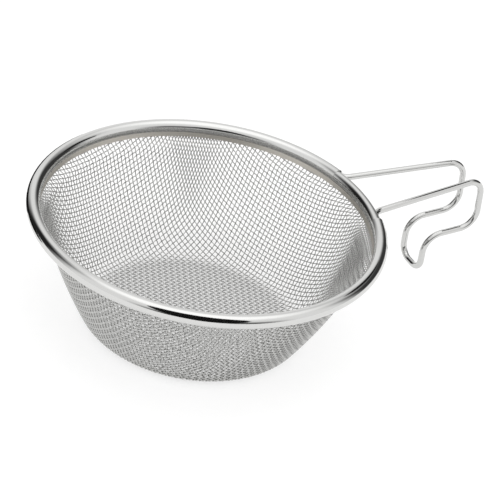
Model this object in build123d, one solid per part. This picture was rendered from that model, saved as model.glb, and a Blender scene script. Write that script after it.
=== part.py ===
from build123d import *
import os
from math import cos, degrees, radians, sin

# A wire-mesh sieve in millimetres: a bowl of woven wire cloth, a rolled strip rim round its edge, and one
# wire that is both the core ring inside the rim and the handle. +Z is up and +X points along the handle.
# The origin is the centre of the bowl's flat underside. Sections are drawn as (radius, height).

# Driving dimensions
rim_outer_diameter = 130.0
rim_axis_height = 44.5  # middle of the rolled rim above the resting face
roll_diameter = 5.0
slim_roll_diameter = 4.3  # between the handle legs, where the roll has no core wire
slim_start_angle = -17.5  # degrees from the handle's middle; this end starts well before its leg
slim_end_angle = 12.5  # and this end stops right at the other leg
strip_thickness = 0.4
flange_bottom_height = 41.4  # lower edge of the strip's inner leg
flange_inset = 1.0  # the inner leg's bright face stands this far back from the roll's skin
leg_top_drop = 1.6  # the leg and its slit end in the roll's wall, this far down the slope from its axis

cloth_thickness = 0.85  # two crossing wires
flat_radius = 35.3
knuckle_radius = 8.0
knuckle_sweep = 60.0  # degrees from the flat bottom to the foot of the wall
wall_top = (57.8, 38.0)
flare_radius = 2.0  # bends where the wall steps out to the rim
clamp_slope = 72.0  # degrees from horizontal, cloth and inner leg side by side under the roll
clamp_start_drop = 4.4  # the clamped stretch of cloth starts this far down the slope from the roll's axis
clamp_end_drop = 0.6  # and its cut edge stops this far down it, below the core wire
fit_gap = 0.03

wire_diameter = 2.4
wire_butt_gap = 0.6  # between the two ends of the wire, inside the rim opposite the handle
leg_root_half_width = 11.85
grip_half_width = 6.4
top_corner = (112.9, 48.2)  # corners of the handle seen from the side, as (x, z)
heel_corner = (114.6, 27.1)
knee_corner = (92.6, 25.0)
tip_corner = (93.4, 9.3)
exit_bend_radius = 4.5
top_bend_radius = 6.6
heel_bend_radius = 7.0
knee_bend_radius = 7.3
tip_bend_radius = 4.9
ring_end_angle = 14.5  # degrees, where the core ring turns out into a leg

notch_width = 0.7  # gap where each end of the thick roll meets the slim one

# Sizes that follow from them
rim_axis_radius = (rim_outer_diameter - roll_diameter) / 2
roll_bore_radius = roll_diameter / 2 - strip_thickness
wire_radius = wire_diameter / 2
# The core wire lies against the outer side of the roll.
ring_radius = rim_axis_radius + roll_bore_radius - wire_radius - fit_gap
slim_axis_radius = rim_axis_radius - (roll_diameter - slim_roll_diameter) / 2
flange_offset = roll_diameter / 2 - flange_inset  # from the roll's axis to the inner leg's bright face
cloth_offset = flange_offset - strip_thickness - fit_gap  # and to the cloth's inner face
cloth_outer_offset = cloth_offset - cloth_thickness


def clamp_band(near, far, low, high):
    """A strip of section parallel to the clamped cloth: near and far are distances inward from the
    roll's axis, low and high run up the slope from the foot of that distance."""
    band = Pos(-(near + far) / 2, (low + high) / 2) * Rectangle(far - near, high - low)
    return Pos(rim_axis_radius, rim_axis_height) * Rot(0, 0, clamp_slope - 90) * band


def clamp_point(distance, along):
    """The (radius, height) of a point given as a distance inward from the roll's axis and up the slope."""
    slope = radians(clamp_slope)
    radius = rim_axis_radius - distance * sin(slope) + along * cos(slope)
    height = rim_axis_height + distance * cos(slope) + along * sin(slope)
    return radius, height


def strip_section(axis_radius, diameter):
    """Rolled tube with the inner leg beside the cloth and the slit that the cloth comes in through."""
    foot_height = clamp_point(flange_offset, 0)[1]
    leg_length = (foot_height - flange_bottom_height) / sin(radians(clamp_slope))
    tube_ring = Circle(diameter / 2) - Circle(diameter / 2 - strip_thickness)
    tube = Pos(axis_radius, rim_axis_height) * tube_ring
    leg = clamp_band(flange_offset - strip_thickness, flange_offset, -leg_length, -leg_top_drop)
    slit = clamp_band(cloth_outer_offset - fit_gap, cloth_offset + fit_gap, -roll_diameter, -leg_top_drop)
    return tube + leg - slit


def turned(section, start, sweep_angle):
    """A section revolved about the bowl's axis from the start angle."""
    return Rot(0, 0, start) * revolve(Plane.XZ * section, Axis.Z, sweep_angle)


def wire_half():
    """Half of the wire, on the +Y side: core ring, exit bend, leg, and the handle down to its middle."""
    leg_slope = (grip_half_width - leg_root_half_width) / (top_corner[0] - rim_axis_radius)
    angle = radians(ring_end_angle)
    end_x, end_y = ring_radius * cos(angle), ring_radius * sin(angle)
    # The ring's tangent meets the leg's line at the exit bend's corner.
    leg_y_at_end = leg_root_half_width + leg_slope * (end_x - rim_axis_radius)
    run = (end_y - leg_y_at_end) / (cos(angle) + leg_slope * sin(angle))
    corner = (end_x + run * sin(angle), end_y - run * cos(angle), rim_axis_height)
    middle_angle = 180 - degrees(wire_butt_gap / 2 / ring_radius)
    ring = CenterArc((0, 0, rim_axis_height), ring_radius, middle_angle, ring_end_angle - middle_angle)
    side = [(x, grip_half_width, z) for x, z in (top_corner, heel_corner, knee_corner, tip_corner)]
    bends = [exit_bend_radius, top_bend_radius, heel_bend_radius, knee_bend_radius, tip_bend_radius]
    points = [(end_x, end_y, rim_axis_height), corner, *side, (tip_corner[0], 0, tip_corner[1])]
    handle = FilletPolyline(*points, radius=bends)
    return Wire([*ring.edges(), *handle.edges()])


def round_wire(path, diameter):
    """Round wire of that diameter along the path."""
    return sweep(Plane(path @ 0, z_dir=path % 0) * Circle(diameter / 2), path)


def make_mesh_bowl():
    """The bowl as a closed shell as thick as the woven cloth, its top edge standing inside the roll."""
    sweep_angle = radians(knuckle_sweep)
    foot = (flat_radius + knuckle_radius * sin(sweep_angle), knuckle_radius * (1 - cos(sweep_angle)))
    foot_direction = (cos(sweep_angle), sin(sweep_angle))
    clamp_start = clamp_point(cloth_outer_offset, -clamp_start_drop)
    clamp_end = clamp_point(cloth_outer_offset, -clamp_end_drop)
    with BuildSketch(Plane.XZ) as section:
        with BuildLine():
            Line((0, 0), (flat_radius, 0))
            CenterArc((flat_radius, knuckle_radius), knuckle_radius, -90, knuckle_sweep)
            wall = TangentArc(foot, wall_top, tangent=foot_direction)
            flare_start = wall @ 1 + (wall % 1) * flare_radius / 2
            FilletPolyline(wall @ 1, flare_start, clamp_start, clamp_end, radius=flare_radius)
            offset(amount=cloth_thickness, side=Side.LEFT)
        make_face()
    return revolve(section.sketch, Axis.Z)


def make_rim_strip():
    """Thick roll round the core wire, slim roll between the legs, and openings for the legs."""
    thick_section = strip_section(rim_axis_radius, roll_diameter)
    slim_section = strip_section(slim_axis_radius, slim_roll_diameter)
    slim_sweep = slim_end_angle - slim_start_angle
    thick = turned(thick_section, slim_end_angle, 360 - slim_sweep)
    slim = turned(slim_section, slim_start_angle, slim_sweep)
    strip = thick + slim
    path = wire_half()
    clearance = round_wire(path, wire_diameter + 2 * fit_gap)
    strip = strip - clearance - mirror(clearance, Plane.XZ)
    notch_half_angle = degrees(notch_width / 2 / rim_axis_radius)
    for angle in (slim_start_angle + notch_half_angle, slim_end_angle - notch_half_angle):
        notch = Box(roll_diameter, notch_width, 2 * roll_diameter)
        cutter = Pos(rim_axis_radius + roll_diameter / 2, 0, rim_axis_height) * notch
        strip = strip - Rot(0, 0, angle) * cutter
    return strip


def make_handle_wire():
    """The two mirrored halves, joined at the U-turn; their other ends stand apart inside the rim."""
    half = round_wire(wire_half(), wire_diameter)
    return half + mirror(half, Plane.XZ)


os.makedirs("parts", exist_ok=True)
parts = {
    "mesh_bowl": make_mesh_bowl(),
    "rim_strip": make_rim_strip(),
    "handle_wire": make_handle_wire(),
}
for name, shape in parts.items():
    export_step(shape, f"parts/{name}.step")
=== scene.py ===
import math

import bpy
import numpy as np
from mathutils import Matrix, Vector


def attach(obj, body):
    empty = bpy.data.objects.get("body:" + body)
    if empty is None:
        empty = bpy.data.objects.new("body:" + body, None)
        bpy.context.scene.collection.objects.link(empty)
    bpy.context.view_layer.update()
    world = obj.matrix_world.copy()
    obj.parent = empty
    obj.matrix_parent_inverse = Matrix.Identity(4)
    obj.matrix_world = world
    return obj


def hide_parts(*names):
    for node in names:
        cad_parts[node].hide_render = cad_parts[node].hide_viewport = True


# The looks of a wire-mesh sieve, in metres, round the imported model: +Z up, +X along the handle, the
# origin at the centre of the bowl's flat underside. The bowl's plain shell is replaced by the woven
# wires of its cloth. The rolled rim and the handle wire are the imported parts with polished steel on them.

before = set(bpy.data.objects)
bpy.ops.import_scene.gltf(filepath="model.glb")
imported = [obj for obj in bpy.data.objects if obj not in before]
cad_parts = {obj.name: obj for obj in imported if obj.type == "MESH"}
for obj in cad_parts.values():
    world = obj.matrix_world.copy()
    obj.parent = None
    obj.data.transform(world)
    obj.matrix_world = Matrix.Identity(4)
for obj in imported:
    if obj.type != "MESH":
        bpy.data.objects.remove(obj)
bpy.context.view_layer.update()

# The bowl's outer face as (radius, height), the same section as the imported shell
cloth_thickness = 0.00085
flat_radius = 0.0353
knuckle_radius = 0.008
knuckle_sweep = math.radians(60)
wall_top = (0.0578, 0.0380)
clamp_start = (0.06093, 0.04038)
clamp_end = (0.06211, 0.04400)

# How finely that section is drawn
flat_points = 120
knuckle_points = 60
wall_points = 160
flare_points = 12
clamp_points = 20
even_points = 900
rounding_window = 15  # even points that the section's direction is averaged over

# The cloth
weave_pitch = 0.0254 / 15
cloth_wire_diameter = 0.00042
weave_turn = math.radians(23)  # from +X to the weave's first set of wires
steps_per_pitch = 4
cloth_wire_sides = 6

# The search for each crossing of the cloth
nudge = 1e-7
most_tries = 25
close_enough = 1e-13  # in square metres
biggest_step = np.array([0.0005, 0.05])  # metres along the section, radians round it

# The steel. Places on the rim are (start, end) of a soft edge between two finishes, or between the roll and
# its
# painted shade: inward is negative towards the bowl's axis and upward is positive above the middle of the
# roll.
rim_axis_radius = 0.0625
rim_axis_height = 0.0445
inner_side = (-0.0014, -0.0010)
leg_top = (-0.0016, -0.0014)
# The crease band is painted shade: a darker colour stands in for the shade and dark reflections in the
# crease between the roll and its inner leg.
painted_shade_bottom = (-0.0015, -0.0014)
painted_shade_top = (0.0004, 0.0008)
roll_colour = (0.66, 0.66, 0.65)
leg_colour = (0.62, 0.59, 0.54)
# The crease's colour is painted shade, darker than the roll.
painted_shade_colour = (0.40, 0.40, 0.39)
roll_roughness = (0.06, 0.12)
leg_roughness = (0.36, 0.48)
rim_line_scale = 4000
rim_line_stretch = 0.02  # how slowly the fine lines change round the rim
cloth_colour = (0.53, 0.53, 0.52)
cloth_noise_scale = 1500
cloth_roughness = (0.03, 0.10)
handle_colour = (0.61, 0.61, 0.60)
handle_noise_scale = 600
handle_roughness = (0.06, 0.12)
noise_middle = (0.3, 0.7)  # the part of a noise's range that nearly all of it lies in

# The camera, with angles in degrees. Azimuth 0 is the -Y side and 90 is the +X side.
camera_azimuth = -33.15
camera_elevation = 33.2
camera_roll = 10.66
camera_distance = 0.8
camera_target = (0.0207, 0.00107, 0.02614)
camera_lens = 157.57
camera_sensor_width = 36
camera_clip_start = 0.01

# The floor: a glow of its own lifts it to white, which the tent's light alone doesn't. The glow is weaker
# under the bowl, a painted shadow where a floor without one would be in shade.
floor_half_size = 3.0
floor_grey = 0.45
# Painted shadow: the weaker glow under the bowl stands in for the shadow the bowl would cast on the floor.
painted_shadow_edge = (0.034, 0.044)  # distances from the origin
glow_in_painted_shadow = 0.47
glow_outside = 0.67

# The studio's light: a white tent that is brighter overhead
tent_light = 1.0
overhead_light = 1.5
overhead_elevations = (45, 75)

# Dark cards on the tent's wall as (centre, half size, softness, light left), directions in degrees
dark_cards = [
    ((camera_azimuth - 113, 16), (26, 34), 16, 0.02),
    ((camera_azimuth + 137, 13), (34, 28), 14, 0.05),
    ((camera_azimuth + 12, 0), (40, 22), 14, 0.10),
]
# Small black oval cards close to the object, which show only in its shine, as (direction, distance from
# the bowl's axis to the card, centre sideways and up, half width and half height). The first one stands in
# the camera's line of sight, where a real card would hide the object.
near_cards = [
    (camera_azimuth, 0.090, (0.009, 0.084), (0.038, 0.040)),
    (camera_azimuth - 128, 0.120, (0, 0.020), (0.045, 0.030)),
    (camera_azimuth - 113, 0.165, (0.005, 0.020), (0.070, 0.034)),
    (90, 0.165, (0.020, 0.172), (0.050, 0.034)),
]
near_card_corners = 48
near_card_grey = 0.01


# ---------------------------------------------------------------- bowl surface

def arc_points(centre, radius, start, end, count):
    """Points (radius, height) along an arc of a section."""
    angles = np.linspace(start, end, count)
    across = centre[0] + radius * np.cos(angles)
    up = centre[1] + radius * np.sin(angles)
    return np.column_stack([across, up])


def lengths_along(points):
    """Distance from the first point to each point along the line through them."""
    steps = np.linalg.norm(np.diff(points, axis=0), axis=1)
    return np.concatenate([[0], np.cumsum(steps)])


def bowl_section():
    """The cloth's middle surface as arrays: arc length, (radius, height) and outward normal."""
    flat = np.column_stack([np.linspace(0, flat_radius, flat_points), np.zeros(flat_points)])
    knuckle_centre = (flat_radius, knuckle_radius)
    downward = -math.pi / 2
    knuckle = arc_points(
        knuckle_centre, knuckle_radius, downward, knuckle_sweep + downward, knuckle_points
    )
    foot = knuckle[-1]
    direction = np.array([math.cos(knuckle_sweep), math.sin(knuckle_sweep)])
    inward = np.array([-direction[1], direction[0]])
    chord = np.array(wall_top) - foot
    wall_radius = chord @ chord / (2 * chord @ inward)
    centre = foot + inward * wall_radius
    start = math.atan2(*(foot - centre)[::-1])
    end = math.atan2(*(np.array(wall_top) - centre)[::-1])
    wall = arc_points(centre, wall_radius, start, end, wall_points)
    flare = np.linspace(wall_top, clamp_start, flare_points)
    clamp = np.linspace(clamp_start, clamp_end, clamp_points)
    outer = np.vstack([flat, knuckle[1:], wall[1:], flare[1:], clamp[1:]])
    length = lengths_along(outer)
    even = np.linspace(0, length[-1], even_points)
    outer = np.column_stack([np.interp(even, length, outer[:, k]) for k in (0, 1)])
    # Averaging the direction rounds the short bends between the wall, the flare and the clamped edge.
    tangent = np.gradient(outer, axis=0)
    tangent /= np.linalg.norm(tangent, axis=1)[:, None]
    kernel = np.ones(rounding_window) / rounding_window
    margin = rounding_window // 2
    padded = np.pad(tangent, ((margin, margin), (0, 0)), mode="edge")
    tangent = np.column_stack([np.convolve(padded[:, k], kernel, mode="valid") for k in (0, 1)])
    tangent /= np.linalg.norm(tangent, axis=1)[:, None]
    outward = np.column_stack([tangent[:, 1], -tangent[:, 0]])
    middle = outer - outward * cloth_thickness / 2
    middle[0, 0] = 0
    return lengths_along(middle), middle, outward


along, middle, outward = bowl_section()
# A last stretch beyond the cut edge lets the cloth's net run past it before it is trimmed.
beyond = 0.010
last_step = middle[-1] - middle[-2]
last_step /= np.linalg.norm(last_step)
net_along = np.append(along, along[-1] + beyond)
net_middle = np.vstack([middle, middle[-1] + last_step * beyond])
net_outward = np.vstack([outward, outward[-1]])


def on_bowl(distance, angle):
    """The point of the cloth's middle surface at a distance along the section and an angle round it."""
    radius = np.interp(distance, net_along, net_middle[:, 0])
    height = np.interp(distance, net_along, net_middle[:, 1])
    return np.stack([radius * np.cos(angle), radius * np.sin(angle), height], axis=-1)


def bowl_normal(distance, angle):
    """The surface's outward normal at that place."""
    radial = np.interp(distance, net_along, net_outward[:, 0])
    upward = np.interp(distance, net_along, net_outward[:, 1])
    return np.stack([radial * np.cos(angle), radial * np.sin(angle), upward], axis=-1)


def fourth_corner(a, b, old):
    """The (distance, angle) of the point one pitch from both a and b, away from old, or None."""
    guess = a + b - old
    guess_radius = math.hypot(guess[0], guess[1])
    x = np.array([
        np.interp(guess_radius, net_middle[:, 0], net_along),
        math.atan2(guess[1], guess[0]),
    ])
    for _ in range(most_tries):
        point = on_bowl(*x)
        miss = np.array([(point - a) @ (point - a), (point - b) @ (point - b)]) - weave_pitch**2
        if np.abs(miss).max() < close_enough:
            return x
        if x[0] + nudge > net_along[-1]:
            return None
        by_distance = (on_bowl(x[0] + nudge, x[1]) - on_bowl(x[0] - nudge, x[1])) / (2 * nudge)
        by_angle = (on_bowl(x[0], x[1] + nudge) - on_bowl(x[0], x[1] - nudge)) / (2 * nudge)
        slopes = np.array([
            [2 * (point - a) @ by_distance, 2 * (point - a) @ by_angle],
            [2 * (point - b) @ by_distance, 2 * (point - b) @ by_angle],
        ])
        step = np.linalg.solve(slopes, miss)
        x = x - np.clip(step, -biggest_step, biggest_step)
    return None


def draped_quarter():
    """Crossings of the cloth in one quarter, {(i, j): (distance, angle)}. A square weave pressed over a
    bowl keeps its pitch along every wire and shears between the wires, so each crossing follows from
    the ones before it."""
    count = int(along[-1] / weave_pitch) + 2
    net = {}
    for i in range(count + 1):
        net[i, 0] = np.array([i * weave_pitch, 0.0])
        net[0, i] = np.array([i * weave_pitch, math.pi / 2])
    for i in range(1, count + 1):
        for j in range(1, i + 1):
            if (i - 1, j) not in net or (i, j - 1) not in net:
                continue
            a = on_bowl(*net[i - 1, j])
            b = on_bowl(*net[i, j - 1])
            old = on_bowl(*net[i - 1, j - 1])
            corner = fourth_corner(a, b, old)
            if corner is not None and corner[0] < along[-1] + 2 * weave_pitch:
                net[i, j] = corner
                net[j, i] = np.array([corner[0], math.pi / 2 - corner[1]])
    return net


def whole_net(quarter):
    """Crossings all round, {(i, j): (distance, angle)} with i and j running from minus to plus."""
    net = {}
    for (i, j), (distance, angle) in quarter.items():
        net[i, j] = (distance, angle)
        net[-j, i] = (distance, angle + math.pi / 2)
        net[-i, -j] = (distance, angle + math.pi)
        net[j, -i] = (distance, angle - math.pi / 2)
    return net


# ---------------------------------------------------------------- cloth wires

def smooth_line(points):
    """A curve through the points with steps_per_pitch steps between each two, by Catmull-Rom."""
    padded = np.vstack([2 * points[0] - points[1], points, 2 * points[-1] - points[-2]])
    share = np.arange(steps_per_pitch) / steps_per_pitch
    t = share[None, :, None]
    p0, p1, p2, p3 = (padded[k: len(padded) - 3 + k, None, :] for k in range(4))
    slope = p2 - p0
    bend = 2 * p0 - 5 * p1 + 4 * p2 - p3
    twist = 3 * p1 - p0 - 3 * p2 + p3
    line = 0.5 * (2 * p1 + slope * t + bend * t**2 + twist * t**3)
    return np.vstack([line.reshape(-1, points.shape[1]), points[-1]])


def wire_line(run, parity):
    """Centre line and bowl normals of one cloth wire, which goes over and under at its crossings. It
    starts over where parity is 1 and under where it is -1."""
    distances = np.array([distance for distance, _ in run])
    angles = np.unwrap([angle for _, angle in run])
    centre = on_bowl(distances, angles)
    normal = bowl_normal(distances, angles)
    fine = smooth_line(np.column_stack([centre, normal, distances]))
    centre, normal, distance = fine[:, :3], fine[:, 3:6], fine[:, 6]
    normal /= np.linalg.norm(normal, axis=1)[:, None]
    number = np.arange(len(fine)) / steps_per_pitch
    crimp = np.cos(math.pi * number) * parity * cloth_wire_diameter / 2
    kept = distance <= along[-1]
    return (centre + normal * crimp[:, None])[kept], normal[kept]


def add_tube(vertices, faces, line, normal):
    """Adds a closed round wire along the line to the lists of vertices and faces."""
    tangent = np.gradient(line, axis=0)
    tangent /= np.linalg.norm(tangent, axis=1)[:, None]
    side = np.cross(tangent, normal)
    side /= np.linalg.norm(side, axis=1)[:, None]
    up = np.cross(side, tangent)
    turn = np.arange(cloth_wire_sides) * 2 * math.pi / cloth_wire_sides
    rise, sway = np.cos(turn)[None, :, None], np.sin(turn)[None, :, None]
    ring = up[:, None, :] * rise + side[:, None, :] * sway
    first = sum(len(wire) for wire in vertices)
    vertices.append((line[:, None, :] + ring * cloth_wire_diameter / 2).reshape(-1, 3))
    row = first + np.arange(len(line) - 1)[:, None] * cloth_wire_sides
    next_row = row + cloth_wire_sides
    here = np.arange(cloth_wire_sides)[None, :]
    after = (here + 1) % cloth_wire_sides
    quads = np.stack([row + here, next_row + here, next_row + after, row + after], -1)
    faces.extend(quads.reshape(-1, 4).tolist())
    start_cap = first + np.arange(cloth_wire_sides)
    end_cap = start_cap + (len(line) - 1) * cloth_wire_sides
    faces.append(start_cap.tolist())
    faces.append(end_cap[::-1].tolist())


def make_cloth_piece(name, wires, material):
    """One piece of the cloth from its wires, [(run, parity)]."""
    vertices, faces = [], []
    for run, parity in wires:
        line, normal = wire_line(run, parity)
        if len(line) > 2:
            add_tube(vertices, faces, line, normal)
    mesh = bpy.data.meshes.new(name)
    turned = np.vstack(vertices) @ np.array(Matrix.Rotation(weave_turn, 3, "Z")).T
    mesh.from_pydata(turned.tolist(), [], faces)
    mesh.polygons.foreach_set("use_smooth", [True] * len(mesh.polygons))
    mesh.materials.append(material)
    piece = bpy.data.objects.new(name, mesh)
    bpy.context.scene.collection.objects.link(piece)
    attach(piece, "root")
    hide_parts("mesh_bowl")


def cloth_runs(net, first_axis):
    """The crossings of each wire in order: [(wire number, first crossing number, run)]."""
    runs = {}
    for i, j in net:
        number, place = (j, i) if first_axis else (i, j)
        runs.setdefault(number, []).append(place)
    result = []
    for number in sorted(runs):
        places = sorted(runs[number])
        keys = [(place, number) if first_axis else (number, place) for place in places]
        result.append((number, places[0], [net[key] for key in keys]))
    return result


def make_cloth(material):
    """Both sets of wires, two pieces to a set. Where one set goes over, the other goes under."""
    net = whole_net(draped_quarter())
    for first_axis, set_name, over in ((True, "long", 1), (False, "cross", -1)):
        wires = []
        for number, start, run in cloth_runs(net, first_axis):
            if len(run) > 2:
                wires.append((run, over * (-1) ** (number + start)))
        half = len(wires) // 2
        make_cloth_piece(f"cloth_wires_{set_name}_a", wires[:half], material)
        make_cloth_piece(f"cloth_wires_{set_name}_b", wires[half:], material)


# ---------------------------------------------------------------- materials

def new_material(name, colour, metallic=1.0):
    """A material with its shader's own colour set, and the pieces that its finish is built from."""
    material = bpy.data.materials.new(name)
    material.use_nodes = True
    nodes, links = material.node_tree.nodes, material.node_tree.links
    shader = nodes["Principled BSDF"]
    shader.inputs["Base Color"].default_value = (*colour, 1)
    shader.inputs["Metallic"].default_value = metallic
    return material, nodes, links, shader


def feed(links, socket, value):
    """Links the socket if the value is another node's output, and sets it otherwise."""
    if isinstance(value, bpy.types.NodeSocket):
        links.new(value, socket)
    else:
        socket.default_value = value


def math_node(nodes, links, operation, *values):
    """The output of a Math node, whose inputs are numbers or other outputs."""
    node = nodes.new("ShaderNodeMath")
    node.operation = operation
    for socket, value in zip(node.inputs, values):
        feed(links, socket, value)
    return node.outputs["Value"]


def map_range(nodes, links, value, from_min, from_max, to_min, to_max, smooth=False):
    """The output of a Map Range node, straight or with soft ends."""
    node = nodes.new("ShaderNodeMapRange")
    node.interpolation_type = "SMOOTHSTEP" if smooth else "LINEAR"
    node.inputs["From Min"].default_value = from_min
    node.inputs["From Max"].default_value = from_max
    node.inputs["To Min"].default_value = to_min
    node.inputs["To Max"].default_value = to_max
    links.new(value, node.inputs["Value"])
    return node.outputs["Result"]


def mix(nodes, links, share, first, second, colours=False):
    """A Mix node's output, from the first value where share is 0 to the second where it is 1."""
    node = nodes.new("ShaderNodeMix")
    node.data_type = "RGBA" if colours else "FLOAT"
    links.new(share, node.inputs["Factor"])
    kind = "RGBA" if colours else "VALUE"
    for name, value in (("A", first), ("B", second)):
        # The node has a socket of each name for every kind of value.
        socket = next(s for s in node.inputs if s.name == name and s.type == kind)
        feed(links, socket, value)
    return next(s for s in node.outputs if s.type == kind)


def place_on_rim(nodes, links):
    """Where a point lies on the rim: angle round it, then inward and upward from the roll's axis."""
    coordinates = nodes.new("ShaderNodeTexCoord")
    parts = nodes.new("ShaderNodeSeparateXYZ")
    links.new(coordinates.outputs["Object"], parts.inputs["Vector"])
    x, y, z = parts.outputs
    angle = math_node(nodes, links, "ARCTAN2", y, x)
    x_squared = math_node(nodes, links, "POWER", x, 2)
    y_squared = math_node(nodes, links, "POWER", y, 2)
    radius = math_node(nodes, links, "SQRT", math_node(nodes, links, "ADD", x_squared, y_squared))
    inward = math_node(nodes, links, "SUBTRACT", radius, rim_axis_radius)
    upward = math_node(nodes, links, "SUBTRACT", z, rim_axis_height)
    return angle, inward, upward


def make_rim_steel():
    """Polished strip with fine lines round it, duller on the inner leg, with painted shade in the crease
    above it.
    """
    material, nodes, links, shader = new_material("rim_steel", roll_colour)
    angle, inward, upward = place_on_rim(nodes, links)
    inside_roll = map_range(nodes, links, inward, *inner_side, 1, 0)
    below_roll = map_range(nodes, links, upward, *leg_top, 1, 0)
    leg = math_node(nodes, links, "MULTIPLY", below_roll, inside_roll)
    # Painted shade: a band in the crease above the inner leg gets a darker colour, standing in for its
    # shade and dark reflections.
    above_leg = map_range(nodes, links, upward, *painted_shade_bottom, 0, 1)
    below_shine = map_range(nodes, links, upward, *painted_shade_top, 1, 0)
    between = math_node(nodes, links, "MULTIPLY", above_leg, below_shine)
    painted_crease_shade = math_node(nodes, links, "MULTIPLY", inside_roll, between)
    colour = mix(nodes, links, leg, (*roll_colour, 1), (*leg_colour, 1), colours=True)
    colour = mix(nodes, links, painted_crease_shade, colour, (*painted_shade_colour, 1), colours=True)
    links.new(colour, shader.inputs["Base Color"])
    around = nodes.new("ShaderNodeCombineXYZ")
    stretched = math_node(nodes, links, "MULTIPLY", angle, rim_line_stretch)
    links.new(stretched, around.inputs["X"])
    links.new(inward, around.inputs["Y"])
    links.new(upward, around.inputs["Z"])
    lines = nodes.new("ShaderNodeTexNoise")
    lines.inputs["Scale"].default_value = rim_line_scale
    lines.inputs["Detail"].default_value = 2
    links.new(around.outputs["Vector"], lines.inputs["Vector"])
    polish = map_range(nodes, links, lines.outputs["Fac"], *noise_middle, *roll_roughness)
    dull = map_range(nodes, links, lines.outputs["Fac"], *noise_middle, *leg_roughness)
    links.new(mix(nodes, links, leg, polish, dull), shader.inputs["Roughness"])
    return material


def make_wire_steel(name, colour, noise_scale, roughness):
    """Drawn wire whose polish wanders a little along it, between the two roughnesses."""
    material, nodes, links, shader = new_material(name, colour)
    coordinates = nodes.new("ShaderNodeTexCoord")
    noise = nodes.new("ShaderNodeTexNoise")
    noise.inputs["Scale"].default_value = noise_scale
    noise.inputs["Detail"].default_value = 3
    links.new(coordinates.outputs["Object"], noise.inputs["Vector"])
    polish = map_range(nodes, links, noise.outputs["Fac"], *noise_middle, *roughness)
    links.new(polish, shader.inputs["Roughness"])
    return material


def set_material(node, material):
    """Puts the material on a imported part."""
    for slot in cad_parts[node].material_slots:
        slot.link = "OBJECT"
        slot.material = material


# ---------------------------------------------------------------- studio

def make_camera():
    """The camera on its sphere round the target, tilted about its own axis."""
    azimuth, elevation = math.radians(camera_azimuth), math.radians(camera_elevation)
    back = Vector((
        math.sin(azimuth) * math.cos(elevation),
        -math.cos(azimuth) * math.cos(elevation),
        math.sin(elevation),
    ))
    data = bpy.data.cameras.new("camera")
    data.sensor_width = camera_sensor_width
    data.lens = camera_lens
    data.clip_start = camera_clip_start
    camera = bpy.data.objects.new("camera", data)
    bpy.context.scene.collection.objects.link(camera)
    facing = (-back).to_track_quat("-Z", "Y").to_matrix()
    turn = facing @ Matrix.Rotation(math.radians(camera_roll), 3, "Z")
    place = Vector(camera_target) + back * camera_distance
    camera.matrix_world = Matrix.Translation(place) @ turn.to_4x4()
    bpy.context.scene.camera = camera


def make_floor():
    """A pale floor under the object that glows, with a painted shadow under the bowl where the glow is
    weaker.
    """
    size = floor_half_size
    mesh = bpy.data.meshes.new("floor")
    corners = [(-size, -size, 0), (size, -size, 0), (size, size, 0), (-size, size, 0)]
    mesh.from_pydata(corners, [], [(0, 1, 2, 3)])
    material, nodes, links, shader = new_material("floor", (floor_grey,) * 3, metallic=0.0)
    shader.inputs["Roughness"].default_value = 0.9
    shader.inputs["Specular IOR Level"].default_value = 0.0
    shader.inputs["Emission Color"].default_value = (1, 1, 1, 1)
    coordinates = nodes.new("ShaderNodeTexCoord")
    distance = nodes.new("ShaderNodeVectorMath")
    distance.operation = "LENGTH"
    links.new(coordinates.outputs["Object"], distance.inputs["Vector"])
    from_origin = distance.outputs["Value"]
    # Painted shadow: the glow drops under the bowl, standing in for the shadow the bowl would cast there.
    glow_with_painted_shadow = map_range(
        nodes, links, from_origin, *painted_shadow_edge, glow_in_painted_shadow, glow_outside, smooth=True
    )
    links.new(glow_with_painted_shadow, shader.inputs["Emission Strength"])
    mesh.materials.append(material)
    floor = bpy.data.objects.new("floor", mesh)
    bpy.context.scene.collection.objects.link(floor)


def make_near_cards():
    """The black oval cards, upright and square to their directions, seen by the object's shine only."""
    material, _, _, shader = new_material("black_card", (near_card_grey,) * 3, metallic=0.0)
    shader.inputs["Roughness"].default_value = 1.0
    shader.inputs["Specular IOR Level"].default_value = 0.0
    round_the_oval = np.linspace(0, 2 * math.pi, near_card_corners, endpoint=False)[:, None]
    upward = np.array([0, 0, 1])
    for number, (azimuth, distance, centre, half_size) in enumerate(near_cards):
        turn = math.radians(azimuth)
        outward = np.array([math.sin(turn), -math.cos(turn), 0])
        across = np.array([math.cos(turn), math.sin(turn), 0])
        sideways = centre[0] + half_size[0] * np.cos(round_the_oval)
        height = centre[1] + half_size[1] * np.sin(round_the_oval)
        corners = outward * distance + across * sideways + upward * np.maximum(height, 0)
        mesh = bpy.data.meshes.new(f"near_card_{number}")
        mesh.from_pydata(corners.tolist(), [], [tuple(range(len(corners)))])
        mesh.materials.append(material)
        card = bpy.data.objects.new(f"near_card_{number}", mesh)
        bpy.context.scene.collection.objects.link(card)
        card.visible_camera = False
        card.visible_diffuse = False
        card.visible_shadow = False
        card.visible_transmission = False


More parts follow.
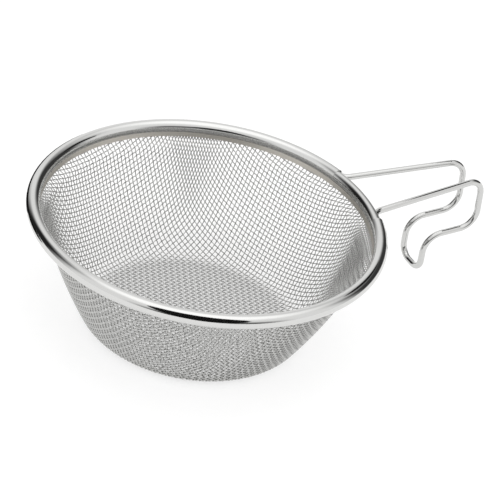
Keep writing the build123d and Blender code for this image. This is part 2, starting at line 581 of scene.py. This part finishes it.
def dark_card(nodes, links, azimuth, elevation, centre, half_size, softness, level):
    """How much light one dark card leaves in each direction: 1 beside it and level behind it."""
    across = math_node(nodes, links, "SUBTRACT", azimuth, math.radians(centre[0]))
    across = math_node(nodes, links, "WRAP", across, math.pi, -math.pi)
    across = math_node(nodes, links, "ABSOLUTE", across)
    upward = math_node(nodes, links, "SUBTRACT", elevation, math.radians(centre[1]))
    upward = math_node(nodes, links, "ABSOLUTE", upward)
    covered = []
    for distance, half in ((across, half_size[0]), (upward, half_size[1])):
        inner, outer = math.radians(half - softness), math.radians(half + softness)
        covered.append(map_range(nodes, links, distance, inner, outer, 1, 0, smooth=True))
    cover = math_node(nodes, links, "MULTIPLY", *covered)
    taken = math_node(nodes, links, "MULTIPLY", cover, 1 - level)
    return math_node(nodes, links, "SUBTRACT", 1, taken)


def make_world():
    """A white tent that is brighter overhead, with the dark cards on its wall."""
    world = bpy.data.worlds.new("studio")
    world.use_nodes = True
    nodes, links = world.node_tree.nodes, world.node_tree.links
    background = nodes["Background"]
    coordinates = nodes.new("ShaderNodeTexCoord")
    parts = nodes.new("ShaderNodeSeparateXYZ")
    links.new(coordinates.outputs["Generated"], parts.inputs["Vector"])
    x, y, z = parts.outputs
    azimuth = math_node(nodes, links, "ARCTAN2", x, math_node(nodes, links, "MULTIPLY", y, -1))
    elevation = math_node(nodes, links, "ARCSINE", z)
    start, end = (math.radians(angle) for angle in overhead_elevations)
    light = map_range(
        nodes, links, elevation, start, end, tent_light, overhead_light, smooth=True
    )
    for card in dark_cards:
        left = dark_card(nodes, links, azimuth, elevation, *card)
        light = math_node(nodes, links, "MULTIPLY", light, left)
    # The tent's wall is plain where the camera looks straight at it, as in a view from the side.
    path = nodes.new("ShaderNodeLightPath")
    seen = mix(nodes, links, path.outputs["Is Camera Ray"], light, tent_light)
    links.new(seen, background.inputs["Strength"])
    background.inputs["Color"].default_value = (1, 1, 1, 1)
    bpy.context.scene.world = world


make_camera()
make_cloth(make_wire_steel("cloth_steel", cloth_colour, cloth_noise_scale, cloth_roughness))
set_material("rim_strip", make_rim_steel())
handle_steel = make_wire_steel("handle_steel", handle_colour, handle_noise_scale, handle_roughness)
set_material("handle_wire", handle_steel)
make_floor()
make_near_cards()
make_world()
bpy.context.scene.view_settings.view_transform = "Standard"
